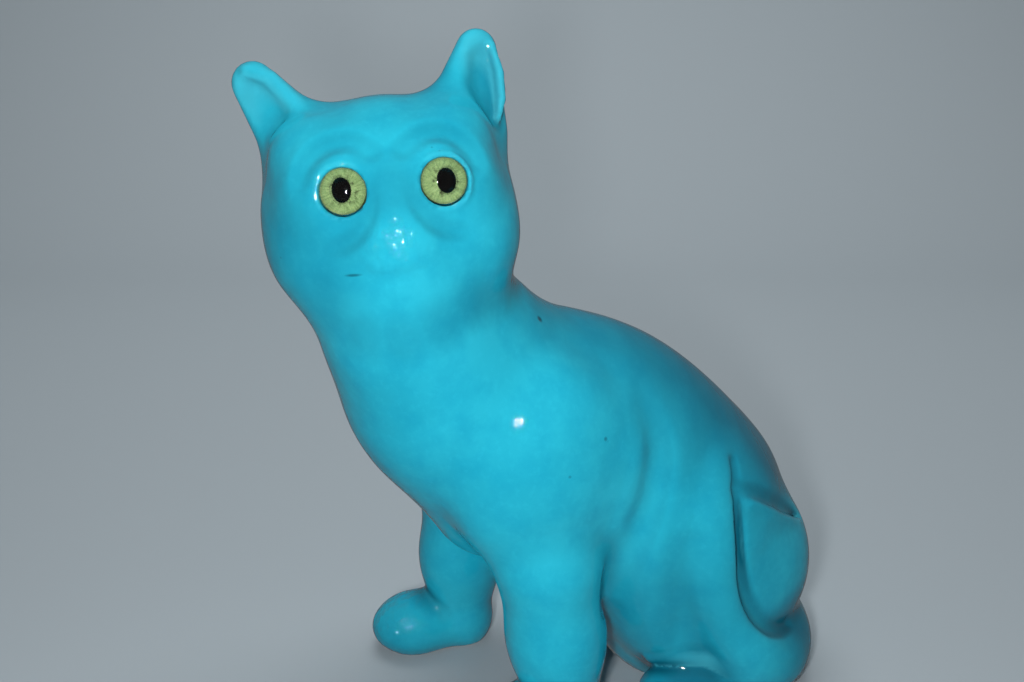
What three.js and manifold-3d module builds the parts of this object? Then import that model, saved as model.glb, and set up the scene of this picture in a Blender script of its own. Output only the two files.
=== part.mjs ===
import * as THREE from 'three';
import { mergeVertices } from 'three/addons/utils/BufferGeometryUtils.js';
import Module from 'manifold-3d';

// ---------------------------------------------------------------------------
// Seated glazed cat, head turned over its left shoulder, inset glass eyes.
// Millimetres, +Z up, the body faces -Y and the cat's left side is +X.
// The figure is proportioned in modules: HEIGHT / 32.5. A point is written
// as at(forward, left, up) in modules from the ground between the front legs.
// ---------------------------------------------------------------------------
const HEIGHT = 255;               // ground to the higher ear tip
const MODULE = HEIGHT / 32.5;     // one module in millimetres
const SHIFT = [0.286, 2.748];     // modules from that ground point to the middle of the outline (x, y)
const EYE_DIA = 1.86;             // glass eye, modules
const EYE_DOME = 0.52;            // how far the glass stands proud of its rim plane
const EYE_DEPTH = 0.75;           // how deep the eye is let into the head
const EYE_GAP = 0.3;              // clearance round an eye, mm
const GLAZE = 0x27b4cf;
const GLASS = 0xa9b765;

const at = (f, l, u) => [l, -f, u];
const DEG = Math.PI / 180;

// ---- distance functions ----------------------------------------------------
const ball = (p, c, r) => {
  const a = (p[0] - c[0]) / r[0], b = (p[1] - c[1]) / r[1], d = (p[2] - c[2]) / r[2];
  const k0 = Math.hypot(a, b, d), k1 = Math.hypot(a / r[0], b / r[1], d / r[2]);
  return k1 > 1e-9 ? k0 * (k0 - 1) / k1 : -Math.min(r[0], r[1], r[2]);
};
const limb = (p, a, b, r1, r2) => {
  const bx = b[0] - a[0], by = b[1] - a[1], bz = b[2] - a[2];
  const l2 = bx * bx + by * by + bz * bz, rr = r1 - r2, a2 = l2 - rr * rr, il2 = 1 / l2;
  const px = p[0] - a[0], py = p[1] - a[1], pz = p[2] - a[2];
  const y = px * bx + py * by + pz * bz, z = y - l2;
  const qx = px * l2 - bx * y, qy = py * l2 - by * y, qz = pz * l2 - bz * y;
  const x2 = qx * qx + qy * qy + qz * qz, y2 = y * y * l2, z2 = z * z * l2;
  const k = Math.sign(rr) * rr * rr * x2;
  if (Math.sign(z) * a2 * z2 > k) return Math.sqrt(x2 + z2) * il2 - r2;
  if (Math.sign(y) * a2 * y2 < k) return Math.sqrt(x2 + y2) * il2 - r1;
  return (Math.sqrt(x2 * a2 * il2) + y * rr) * il2 - r1;
};
const join = (a, b, k) => {
  const h = Math.max(k - Math.abs(a - b), 0) / k;
  return Math.min(a, b) - h * h * k / 4;
};
const cut = (a, b, k) => -join(-a, b, k);
const chain = (p, knots, k) => {
  let d = 1e9;
  for (let i = 0; i + 1 < knots.length; i++) {
    const e = limb(p, knots[i][0], knots[i + 1][0], knots[i][1], knots[i + 1][1]);
    d = k > 0 ? join(d, e, k) : Math.min(d, e);
  }
  return d;
};
// a smooth run of knots (place, radius) through the given ones
const spline = (knots, parts) => {
  const path = new THREE.CatmullRomCurve3(knots.map(([c]) => new THREE.Vector3(...c)), false, 'catmullrom', 0.5);
  const girth = new THREE.SplineCurve(knots.map(([, r], i) => new THREE.Vector2(i, r)));
  const last = (knots.length - 1) * parts;
  return Array.from({ length: last + 1 }, (_, i) => [path.getPoint(i / last).toArray(), girth.getPoint(i / last).y]);
};
const squash = (p, s) => [p[0] * s, p[1], p[2]];

// ---- the head's own frame: across (to its left), up, and out of the face ----
const HEAD = at(4.8, 0, 25);
const TURN = 75.8 * DEG, LIFT = 8 * DEG, ROLL = 5.5 * DEG;
const headAxes = (() => {
  const out0 = new THREE.Vector3(Math.sin(TURN), -Math.cos(TURN), 0);
  const side0 = new THREE.Vector3(Math.cos(TURN), Math.sin(TURN), 0);
  const up0 = new THREE.Vector3(0, 0, 1);
  const out = out0.clone().multiplyScalar(Math.cos(LIFT)).addScaledVector(up0, Math.sin(LIFT));
  const up1 = out0.clone().multiplyScalar(-Math.sin(LIFT)).addScaledVector(up0, Math.cos(LIFT));
  const side = side0.clone().multiplyScalar(Math.cos(ROLL)).addScaledVector(up1, Math.sin(ROLL));
  const up = side0.clone().multiplyScalar(-Math.sin(ROLL)).addScaledVector(up1, Math.cos(ROLL));
  return [side.toArray(), up.toArray(), out.toArray()];
})();
const toHead = (p) => {
  const q = [p[0] - HEAD[0], p[1] - HEAD[1], p[2] - HEAD[2]];
  return headAxes.map((e) => e[0] * q[0] + e[1] * q[1] + e[2] * q[2]);
};
const fromHead = (q) => [0, 1, 2].map((i) =>
  HEAD[i] + headAxes[0][i] * q[0] + headAxes[1][i] * q[1] + headAxes[2][i] * q[2]);

// ---- ears: base middle, tip, half width, the hollow's shift and lower end, which way it faces, the root in front
const EARS = [
  { base: [-3.78, 3.75, -0.6], tip: [-5.1, 5.95, -0.8], wide: 1.74, off: 0.05, low: [0.1, 2.3, -0.6],
    face: [-0.3, 0.1, 0.95], root: [-3.2, 3.0, 0.9] },
  { base: [3.72, 3.85, -0.6], tip: [4.42, 6.28, -0.8], wide: 2.0, off: 0.08, low: [0.45, 2.38, 0.1],
    face: [0.42, 0.05, 0.9], root: [2.95, 3.1, 0.9] },
].map((e) => {
  const b = new THREE.Vector3(...e.base), t = new THREE.Vector3(...e.tip);
  const axis = t.clone().sub(b), len = axis.length();
  axis.normalize();
  const face = new THREE.Vector3(...e.face);
  face.addScaledVector(axis, -face.dot(axis)).normalize();
  const across = new THREE.Vector3().crossVectors(axis, face);
  return { ...e, len, frame: [across.toArray(), face.toArray(), axis.toArray()] };
});
const earLocal = (h, e) => {
  const q = [h[0] - e.base[0], h[1] - e.base[1], h[2] - e.base[2]];
  return e.frame.map((v) => v[0] * q[0] + v[1] * q[1] + v[2] * q[2]);
};
const EAR_THICK = 0.62;           // front to back, as a share of the width
const EYE_AT = [[-1.78, 1.43, 4.28], [2.22, 1.38, 4.28]];
const EYE_OUT = [[-0.14, 0.08, 0.985], [0.14, 0.08, 0.985]];

const headField = (p) => {
  const h = toHead(p);
  let d = ball(h, [-0.13, 0.05, -0.15], [5.45, 4.9, 4.85]);                    // skull
  for (const s of [-1, 1]) {
    d = join(d, ball(h, [s * 2.45, -1.45, 1.15 + s * 0.15], [2.6, 2.5, 2.8]), 1.2);        // cheek
    d = join(d, ball(h, [s * 2.1 + 0.05, 1.5, 2.55], [1.85, 1.75, 1.5]), 1.5); // lids round the eye
  }
  d = join(d, ball(h, [0.1, -1.95, 2.95], [2.7, 2.5, 2.15]), 1.1);             // muzzle and chin, one dome
  d = join(d, limb(h, [0.12, 1.2, 3.5], [0.12, -0.9, 3.85], 0.95, 1.35), 1.1); // bridge of the nose
  EYE_AT.forEach((e, i) => {                                                   // the bowl an eye sits in
    const o = EYE_OUT[i];
    d = cut(d, ball(h, [e[0] + o[0] * 1.42, e[1] + o[1] * 1.42, e[2] + o[2] * 1.42], [1.2, 1.2, 1.3]), 0.7);
  });
  for (const e of EARS) {
    const q = earLocal(h, e);
    const w = [q[0], q[1] / EAR_THICK, q[2]];
    let ear = limb(w, [0, 0, -0.8], [0, 0, e.len], e.wide, 0.95) * 0.75;
    ear = cut(ear, limb(w, e.low, [e.off, 1.07, e.len - 0.35], 1.15, 0.6) * 0.75, 0.3);
    d = join(join(d, ball(h, e.root, [1.3, 1.2, 1.25]), 1.3), ear, 1.15);
  }
  return d;
};

// ---- body, legs and tail ----------------------------------------------------
const LEGS = [
  { s: 1, girth: [2.5, 1.98, 1.76], hip: at(-0.9, 4.3, 8.8), knee: at(-1.25, 4.5, 5.0), ankle: at(-1.6, 4.55, 1.7),
    heel: at(-1.6, 4.55, 0.9), paw: at(0.5, 4.75, 1.05), shoulder: at(-0.7, 3.3, 13.6) },
  { s: -1, girth: [2.4, 1.82, 1.64], hip: at(0.3, -4.3, 8.8), knee: at(0.6, -4.45, 5.0), ankle: at(0.7, -4.4, 1.7),
    heel: at(0.5, -4.4, 0.9), paw: at(3.2, -4.65, 1.25), shoulder: at(0.2, -3.3, 13.6) },
];
// neck to hips
const SPINE = spline([
  [at(4.3, 0.2, 21.2), 3.68], [at(1.4, 0, 15.9), 5.13], [at(-4.6, 0, 12.6), 6.03], [at(-8.85, 0, 8.2), 6.33]], 6);
// the tail: out of the rear, round the left side on the ground, then up the flank as a band
const TAIL = [
  [at(-13.3, -2.4, 2.1), 2.2], [at(-14.15, 0.8, 1.95), 2.12], [at(-13.7, 3.4, 1.85), 2.0], [at(-12.4, 5.15, 2.0), 1.8],
  [at(-10.75, 5.8, 3.3), 1.45], [at(-9.4, 5.8, 5.3), 1.12], [at(-8.7, 5.65, 7.4), 0.92], [at(-8.65, 5.42, 9.4), 0.8],
  [at(-8.65, 5.12, 11.2), 0.74], [at(-8.95, 4.6, 12.6), 0.5],
];
// hollows: behind the shoulder, the flat of the thigh, over the hind foot, behind the tail's band
const SHOULDER_LINE = [
  [at(-5.3, 4.5, 18.2), 0.3], [at(-5.6, 5.1, 16.4), 0.5], [at(-5.8, 5.65, 14.6), 0.62], [at(-5.45, 6.1, 12.6), 0.68],
  [at(-4.85, 6.1, 10.6), 0.68], [at(-4.25, 5.8, 8.6), 0.6], [at(-3.9, 5.4, 7.2), 0.5],
];
const PANEL = [[at(-7.0, 7.4, 9.3), 1.3], [at(-7.1, 7.9, 4.7), 2.5]];
const TUCK = [[at(-5.2, 6.0, 3.7), 0.5], [at(-7.0, 6.7, 4.3), 0.8], [at(-8.9, 7.0, 3.6), 0.5]];
const VALLEY = [
  [at(-10.3, 6.9, 10.8), 0.3], [at(-10.4, 7.35, 9.6), 0.55], [at(-10.5, 7.5, 8), 0.7], [at(-10.9, 7.6, 6), 0.75],
  [at(-12.0, 7.4, 4.9), 0.6],
];
const bodyField = (p) => {
  let d = chain(squash(p, 1.07), SPINE, 0.3);
  d = join(d, ball(p, at(2.2, 0, 17.2), [4.9, 4.65, 5.0]), 1.5);                    // chest
  d = join(d, ball(p, at(4.7, 1.2, 20.9), [3.7, 3.4, 3.6]), 2.0);                   // throat
  d = join(d, limb(p, at(1.1, 0, 14.4), at(0.45, 0.2, 10.7), 3.6, 2.9), 1.4);       // brisket
  d = join(d, ball(p, at(-10.2, 0, 4.4), [5.4, 5.4, 6.0]), 1.4);                    // seat
  for (const g of LEGS) {
    d = join(d, ball(p, g.shoulder, [3.15, 4.3, 5.3]), 0.8);
    let leg = chain(p, [[g.hip, g.girth[0]], [g.knee, g.girth[1]], [g.ankle, g.girth[2]]], 1.6);
    leg = join(leg, limb(p, g.heel, g.paw, 1.35, 1.25), 0.7);
    leg = join(leg, limb(p, g.ankle, g.paw, 1.3, 1.25), 0.7);
    leg = join(leg, ball(p, g.paw, [1.95, 2.25, 1.5]), 0.7);
    d = join(d, leg, 1.1);
    // thigh, knee and hind foot
    d = join(d, ball(p, at(-8.95, g.s * 3.0, 7.7), [3.4, 4.4, 5.9]), 1.2);
    d = join(d, ball(p, at(-7.7, g.s * 2.55, 5.7), [3.15, 2.75, 4.2]), 0.8);
    d = join(d, chain(p, [[at(-10.2, g.s * 4.9, 1.2), 1.6], [at(-8.2, g.s * 5.0, 1.1), 1.5], [at(-6.9, g.s * 5.1, 0.95), 1.4]], 0.5), 0.5);
  }
  return d;
};
const field = (p) => {
  let d = bodyField(p);
  const side = [Math.abs(p[0]), p[1], p[2]];                                        // both sides alike
  const fore = [side[0], p[0] < 0 ? p[1] + 0.9 : p[1], p[2]];                       // the right foreleg is further on
  d = cut(d, chain(fore, SHOULDER_LINE, 0), 0.65);
  d = cut(d, chain(side, PANEL, 0), 0.8);
  d = cut(d, chain(side, TUCK, 0), 0.5);
  d = cut(d, chain(p, VALLEY, 0.5), 0.5);
  d = join(d, chain(p, TAIL, 0.15), 0.9);
  d = join(d, ball(p, at(-10.95, 1.8, 5.9), [4.4, 5.0, 5.2]), 0.6);                // rump
  d = join(d, headField(p), 1.4);
  return Math.max(d, -0.45 - p[2]);
};

// ---- surface nets over a grid whose steps are finer round the head ----------
const steps = (lo, hi, size) => {
  const out = [lo];
  while (out[out.length - 1] < hi) out.push(out[out.length - 1] + size(out[out.length - 1]));
  return out;
};
const blendStep = (v, a, b, fine, coarse) => {
  const t = THREE.MathUtils.smoothstep(v, a, b);
  return fine + (coarse - fine) * t;
};
const XS = steps(-8.4, 8.6, (v) => blendStep(Math.abs(v), 2.6, 5.0, 0.62, 0.92));
const YS = steps(-12.6, 18.5, (v) => blendStep(v, 1.0, 4.0, 0.65, 1.02));
const ZS = steps(-1.7, 33.6, (v) => blendStep(v, 18.0, 21.0, 0.96, 0.6));

function surface(fn) {
  const nx = XS.length, ny = YS.length, nz = ZS.length;
  const val = new Float64Array(nx * ny * nz);
  const id = (i, j, k) => (k * ny + j) * nx + i;
  for (let k = 0; k < nz; k++) for (let j = 0; j < ny; j++) for (let i = 0; i < nx; i++)
    val[id(i, j, k)] = fn([XS[i], YS[j], ZS[k]]);
  // a cell whose inside or outside corners fall in two groups would pinch the skin: close it up
  const linked = (mask) => {
    let seen = mask & -mask, last = 0;
    while (seen !== last) {
      last = seen;
      for (let c = 0; c < 8; c++) if (seen >> c & 1) for (const b of [1, 2, 4]) seen |= mask & (1 << (c ^ b));
    }
    return seen === mask;
  };
  for (let pass = 0, changed = 1; changed && pass < 12; pass++) {
    changed = 0;
    for (let k = 0; k + 1 < nz; k++) for (let j = 0; j + 1 < ny; j++) for (let i = 0; i + 1 < nx; i++) {
      let mask = 0, least = -1;
      for (let c = 0; c < 8; c++) {
        const n = id(i + (c & 1), j + ((c >> 1) & 1), k + (c >> 2));
        if (val[n] < 0) mask |= 1 << c;
        if (least < 0 || Math.abs(val[n]) < Math.abs(val[least])) least = n;
      }
      if (mask === 0 || mask === 255 || (linked(mask) && linked(255 ^ mask))) continue;
      val[least] = val[least] < 0 ? 1e-3 : -1e-3;
      changed++;
    }
  }
  const cell = new Int32Array(nx * ny * nz).fill(-1);
  const pos = [], idx = [];
  const grad = (p) => {
    const e = 0.02;
    return [0, 1, 2].map((a) => {
      const u = p.slice(), v = p.slice();
      u[a] += e; v[a] -= e;
      return (fn(u) - fn(v)) / (2 * e);
    });
  };
  for (let k = 0; k + 1 < nz; k++) for (let j = 0; j + 1 < ny; j++) for (let i = 0; i + 1 < nx; i++) {
    const s = [0, 0, 0];
    let n = 0;
    const corner = (c) => [i + (c & 1), j + ((c >> 1) & 1), k + (c >> 2)];
    for (let c = 0; c < 8; c++) for (const bit of [1, 2, 4]) {
      if (c & bit) continue;
      const a = corner(c), b = corner(c | bit);
      const va = val[id(...a)], vb = val[id(...b)];
      if ((va < 0) === (vb < 0)) continue;
      const t = va / (va - vb);
      s[0] += XS[a[0]] + t * (XS[b[0]] - XS[a[0]]);
      s[1] += YS[a[1]] + t * (YS[b[1]] - YS[a[1]]);
      s[2] += ZS[a[2]] + t * (ZS[b[2]] - ZS[a[2]]);
      n++;
    }
    if (!n) continue;
    let p = s.map((v) => v / n);
    const p0 = p.slice();
    for (let it = 0; it < 3; it++) {
      const g = grad(p), f = fn(p), gg = g[0] * g[0] + g[1] * g[1] + g[2] * g[2];
      if (gg < 1e-6) break;
      p = p.map((v, a) => v - THREE.MathUtils.clamp(f * g[a] / gg, -0.2, 0.2));
    }
    const lim = [XS[i + 1] - XS[i], YS[j + 1] - YS[j], ZS[k + 1] - ZS[k]];
    p = p.map((v, a) => THREE.MathUtils.clamp(v, p0[a] - 0.45 * lim[a], p0[a] + 0.45 * lim[a]));
    cell[id(i, j, k)] = pos.length / 3;
    pos.push(...p);
  }
  const quad = (a, b, c, d, flip) => {
    const q = flip ? [a, d, c, b] : [a, b, c, d];
    idx.push(q[0], q[1], q[2], q[0], q[2], q[3]);
  };
  for (let k = 1; k + 1 < nz; k++) for (let j = 1; j + 1 < ny; j++) for (let i = 1; i + 1 < nx; i++) {
    const v = val[id(i, j, k)] < 0;
    if (v !== (val[id(i + 1, j, k)] < 0))
      quad(cell[id(i, j - 1, k - 1)], cell[id(i, j, k - 1)], cell[id(i, j, k)], cell[id(i, j - 1, k)], !v);
    if (v !== (val[id(i, j + 1, k)] < 0))
      quad(cell[id(i - 1, j, k - 1)], cell[id(i - 1, j, k)], cell[id(i, j, k)], cell[id(i, j, k - 1)], !v);
    if (v !== (val[id(i, j, k + 1)] < 0))
      quad(cell[id(i - 1, j - 1, k)], cell[id(i, j - 1, k)], cell[id(i, j, k)], cell[id(i - 1, j, k)], !v);
  }
  for (let i = 0; i < pos.length; i += 3) {
    pos[i] = (pos[i] - SHIFT[0]) * MODULE;
    pos[i + 1] = (pos[i + 1] - SHIFT[1]) * MODULE;
    pos[i + 2] *= MODULE;
  }
  const g = new THREE.BufferGeometry();
  g.setAttribute('position', new THREE.Float32BufferAttribute(pos, 3));
  g.setIndex(idx);
  return g;
}

// ---- solids joined and cut --------------------------------------------------
const wasm = await Module();
wasm.setup();
const solid = (geometry, matrix) => {
  const g = geometry.clone();
  for (const name of ['normal', 'uv']) g.deleteAttribute(name);
  if (matrix) g.applyMatrix4(matrix);
  const m = mergeVertices(g, 1e-4);
  return new wasm.Manifold(new wasm.Mesh({
    numProp: 3,
    vertProperties: new Float32Array(m.attributes.position.array),
    triVerts: new Uint32Array(m.index.array),
  }));
};
const geometryOf = (manifold) => {
  const m = manifold.getMesh();
  const g = new THREE.BufferGeometry();
  const pos = new Float32Array(m.numVert * 3);
  for (let i = 0; i < m.numVert; i++) for (let a = 0; a < 3; a++) pos[i * 3 + a] = m.vertProperties[i * m.numProp + a];
  g.setAttribute('position', new THREE.BufferAttribute(pos, 3));
  g.setIndex(new THREE.BufferAttribute(new Uint32Array(m.triVerts), 1));
  g.computeVertexNormals();
  return g;
};

// an eye: a domed button whose profile starts and ends on its axis (+Y of the lathe)
function eyeGeometry(grow) {
  const r = EYE_DIA / 2 * MODULE + grow, dome = EYE_DOME * MODULE + grow, deep = EYE_DEPTH * MODULE + grow;
  const profile = [new THREE.Vector2(0, -deep), new THREE.Vector2(r * 0.72, -deep), new THREE.Vector2(r, -deep * 0.55)];
  for (let i = 0; i <= 6; i++) {
    const a = i / 6 * Math.PI / 2;
    profile.push(new THREE.Vector2(i === 6 ? 0 : r * Math.cos(a), dome * Math.sin(a)));
  }
  return new THREE.LatheGeometry(profile, 24);
}
const eyeMatrix = (i) => {
  const c = fromHead(EYE_AT[i]);
  const o = EYE_OUT[i];
  const dir = new THREE.Vector3(...[0, 1, 2].map((a) =>
    headAxes[0][a] * o[0] + headAxes[1][a] * o[1] + headAxes[2][a] * o[2])).normalize();
  const q = new THREE.Quaternion().setFromUnitVectors(new THREE.Vector3(0, 1, 0), dir);
  const at0 = new THREE.Vector3((c[0] - SHIFT[0]) * MODULE, (c[1] - SHIFT[1]) * MODULE, c[2] * MODULE);
  return new THREE.Matrix4().compose(at0, q, new THREE.Vector3(1, 1, 1));
};

let body = solid(surface(field));
const ground = new THREE.BoxGeometry(60 * MODULE, 60 * MODULE, 10 * MODULE);
ground.translate(0, 0, -5 * MODULE);
body = body.subtract(solid(ground));
for (let i = 0; i < 2; i++) body = body.subtract(solid(eyeGeometry(EYE_GAP), eyeMatrix(i)));

const figure = new THREE.Group();
const cat = new THREE.Mesh(geometryOf(body), new THREE.MeshStandardMaterial({ color: GLAZE, roughness: 0.12, metalness: 0 }));
cat.name = 'cat_body';
figure.add(cat);
['glass_eye_right', 'glass_eye_left'].forEach((name, i) => {
  const eye = new THREE.Mesh(geometryOf(solid(eyeGeometry(0), eyeMatrix(i))),
    new THREE.MeshStandardMaterial({ color: GLASS, roughness: 0.05, metalness: 0 }));
  eye.name = name;
  figure.add(eye);
});

export default figure;
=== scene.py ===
import math
import time
import bpy
import numpy as np
from mathutils import Matrix, Vector


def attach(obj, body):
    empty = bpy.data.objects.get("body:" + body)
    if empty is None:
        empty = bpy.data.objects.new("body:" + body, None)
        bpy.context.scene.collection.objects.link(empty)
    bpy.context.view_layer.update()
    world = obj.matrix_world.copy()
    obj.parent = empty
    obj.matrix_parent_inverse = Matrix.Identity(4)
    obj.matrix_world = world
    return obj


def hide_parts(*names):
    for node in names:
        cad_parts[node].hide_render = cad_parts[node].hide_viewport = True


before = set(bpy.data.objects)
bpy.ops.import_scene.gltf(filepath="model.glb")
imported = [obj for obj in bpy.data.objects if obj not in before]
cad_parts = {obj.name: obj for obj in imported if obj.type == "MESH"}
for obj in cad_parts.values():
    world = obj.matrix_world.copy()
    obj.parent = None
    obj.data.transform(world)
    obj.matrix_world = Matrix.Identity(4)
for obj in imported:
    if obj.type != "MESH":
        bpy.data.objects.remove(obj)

began = time.time()
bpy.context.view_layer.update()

# The figure is proportioned in modules of HEIGHT / 32.5. A point is at(forward, left, up),
# in modules from the ground between the front legs; x is left, y is backward, z is up.
HEIGHT = 0.255
MODULE = HEIGHT / 32.5
SHIFT = np.array([0.286, 2.748, 0.0])
VOXEL = 0.00127 / MODULE
EYE_DIA = 1.86
EYE_DOME = 0.52
EYE_DEPTH = 0.75
REACH = [1.0]          # how far outside its own box a small form is still looked at


def at(f, l, u):
    return np.array([l, -f, u], dtype=np.float64)


def unit(v):
    v = np.asarray(v, dtype=np.float64)
    return v / np.linalg.norm(v)


# ---------------------------------------------------------------- distance functions
# a set of points is three arrays (x, y, z)
def ball(p, c, r):
    q = [(p[i] - float(c[i])) / float(r[i]) for i in range(3)]
    k0 = np.sqrt(q[0] * q[0] + q[1] * q[1] + q[2] * q[2])
    q = [q[i] / float(r[i]) for i in range(3)]
    k1 = np.sqrt(q[0] * q[0] + q[1] * q[1] + q[2] * q[2]) + 1e-9
    return k0 * (k0 - 1.0) / k1


def limb(p, a, b, r1, r2):
    a = [float(v) for v in a]
    ba = [float(b[i]) - a[i] for i in range(3)]
    l2 = ba[0] ** 2 + ba[1] ** 2 + ba[2] ** 2
    rr = r1 - r2
    a2 = l2 - rr * rr
    il2 = 1.0 / l2
    pa = [p[i] - a[i] for i in range(3)]
    y = pa[0] * ba[0] + pa[1] * ba[1] + pa[2] * ba[2]
    z = y - l2
    x2 = np.maximum((pa[0] ** 2 + pa[1] ** 2 + pa[2] ** 2) * l2 * l2 - y * y * l2, 0.0)
    y2, z2 = y * y * l2, z * z * l2
    k = np.sign(rr) * rr * rr * x2
    out = (np.sqrt(x2 * (a2 * il2)) + y * rr) * il2 - r1
    out = np.where(np.sign(y) * a2 * y2 < k, np.sqrt(x2 + y2) * il2 - r1, out)
    return np.where(np.sign(z) * a2 * z2 > k, np.sqrt(x2 + z2) * il2 - r2, out)


def join(a, b, k):
    h = np.maximum(k - np.abs(a - b), 0.0) / k
    return np.minimum(a, b) - h * h * (k / 4.0)


def cut(a, b, k):
    return -join(-a, b, k)


def chain(p, knots, k):
    d = None
    for (a, ra), (b, rb) in zip(knots[:-1], knots[1:]):
        e = limb(p, a, b, ra, rb)
        d = e if d is None else (join(d, e, k) if k > 0 else np.minimum(d, e))
    return d


def along(d, p, knots, how, k, inner=0.0):
    """Join or cut a chain, looked at only near it."""
    pts = np.array([c for c, r in knots])
    far = max(r for c, r in knots) + k + REACH[0]
    lo, hi = pts.min(0) - far, pts.max(0) + far
    near = np.nonzero((p[0] > lo[0]) & (p[0] < hi[0]) & (p[1] > lo[1]) & (p[1] < hi[1])
                      & (p[2] > lo[2]) & (p[2] < hi[2]))[0]
    if len(near):
        d[near] = how(d[near], chain([v[near] for v in p], knots, inner), k)
    return d


def catmull(p0, p1, p2, p3, t):
    return 0.5 * (2 * p1 + (p2 - p0) * t + (2 * p0 - 5 * p1 + 4 * p2 - p3) * t * t
                  + (3 * p1 - p0 - 3 * p2 + p3) * t ** 3)


def spline(knots, parts):
    """A smooth run of (place, radius) through the given ones."""
    k = [np.append(c, r) for c, r in knots]
    out = []
    for i in range(len(k) - 1):
        p0, p1, p2, p3 = k[max(i - 1, 0)], k[i], k[i + 1], k[min(i + 2, len(k) - 1)]
        out += [catmull(p0, p1, p2, p3, j / parts) for j in range(parts)]
    out.append(k[-1])
    return [(v[:3], float(v[3])) for v in out]


# ---------------------------------------------------------------- the head's own frame
HEAD = at(4.8, 0, 25)
TURN, LIFT, ROLL = (math.radians(v) for v in (75.8, 8.0, 5.5))


def head_axes():
    out0 = np.array([math.sin(TURN), -math.cos(TURN), 0.0])
    side0 = np.array([math.cos(TURN), math.sin(TURN), 0.0])
    up0 = np.array([0.0, 0.0, 1.0])
    out = out0 * math.cos(LIFT) + up0 * math.sin(LIFT)
    up1 = -out0 * math.sin(LIFT) + up0 * math.cos(LIFT)
    side = side0 * math.cos(ROLL) + up1 * math.sin(ROLL)
    up = -side0 * math.sin(ROLL) + up1 * math.cos(ROLL)
    return np.array([side, up, out])


AXES = head_axes()


def to_head(p):
    q = [p[i] - float(HEAD[i]) for i in range(3)]
    return [q[0] * float(e[0]) + q[1] * float(e[1]) + q[2] * float(e[2]) for e in AXES]


def from_head(q):
    return np.asarray(q) @ AXES + HEAD


EARS = []
for base, tip, wide, off, low, face, root in (
    ((-3.78, 3.75, -0.6), (-5.1, 5.95, -0.8), 1.74, 0.05, (0.1, 2.3, -0.6), (-0.3, 0.1, 0.95), (-3.2, 3.0, 0.9)),
    ((3.72, 3.85, -0.6), (4.42, 6.28, -0.8), 2.0, 0.08, (0.45, 2.38, 0.1), (0.42, 0.05, 0.9), (2.95, 3.1, 0.9)),
):
    b, t = np.array(base), np.array(tip)
    axis = unit(t - b)
    f = np.array(face)
    f = unit(f - axis * (f @ axis))
    EARS.append({"base": b, "len": float(np.linalg.norm(t - b)), "wide": wide, "off": off, "low": low, "root": root,
                 "frame": np.array([np.cross(axis, f), f, axis])})
EAR_THICK = 0.62
EAR_RIMS = [
    [(np.array([-5.3, 6.5, -0.35]), 0.12), (np.array([-4.35, 6.05, -0.3]), 0.24), (np.array([-3.55, 5.0, -0.02]), 0.26), (np.array([-2.95, 4.2, 0.55]), 0.1)],
    [(np.array([5.1, 6.4, -0.55]), 0.1), (np.array([5.3, 5.3, -0.45]), 0.18), (np.array([5.25, 4.2, -0.3]), 0.18), (np.array([5.0, 3.4, 0.1]), 0.08)],
]
EYE_AT = [np.array([-1.78, 1.43, 4.28]), np.array([2.22, 1.38, 4.28])]
EYE_OUT = [unit([-0.14, 0.08, 0.985]), unit([0.14, 0.08, 0.985])]


def head_form(h):
    d = ball(h, (-0.13, 0.05, -0.15), (5.45, 4.9, 4.85))
    for s in (-1, 1):
        d = join(d, ball(h, (s * 2.45, -1.45, 1.15 + s * 0.15), (2.6, 2.5, 2.8)), 1.2)
        d = join(d, ball(h, (s * 2.1 + 0.05, 1.5, 2.55), (1.85, 1.75, 1.5)), 1.5)
    d = join(d, ball(h, (0.1, -1.95, 2.95), (2.7, 2.5, 2.15)), 1.1)
    d = join(d, limb(h, (0.12, 1.2, 3.5), (0.12, -0.9, 3.85), 0.95, 1.35), 1.1)
    return d


def skin_points(ab, off):
    """Where the face's skin is in front of each (a, b) of the head's frame, off modules proud of it."""
    ab = np.asarray(ab, dtype=float)
    lo, hi = np.full(len(ab), 1.0), np.full(len(ab), 7.5)
    for _ in range(30):
        m = (lo + hi) / 2
        inside = head_form([ab[:, 0], ab[:, 1], m]) < 0
        lo, hi = np.where(inside, m, lo), np.where(inside, hi, m)
    return np.stack([ab[:, 0], ab[:, 1], lo + off], 1)


def face_line(points, r, off):
    """A line along the face, tapering at both ends."""
    pts = [np.array(p, dtype=float) for p in points]
    fine = []
    for i in range(len(pts) - 1):
        p0, p1, p2, p3 = pts[max(i - 1, 0)], pts[i], pts[i + 1], pts[min(i + 2, len(pts) - 1)]
        fine += [catmull(p0, p1, p2, p3, t / 5) for t in range(5)]
    fine.append(pts[-1])
    u = np.clip(np.arange(len(fine)) / (len(fine) - 1), 0.02, 0.98)
    taper = 0.4 + 0.6 * np.sin(np.pi * u) ** 0.6
    q = skin_points(fine, off + (1 - taper) * 0.25)
    return [(q[i], float(r * taper[i])) for i in range(len(fine))]


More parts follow.
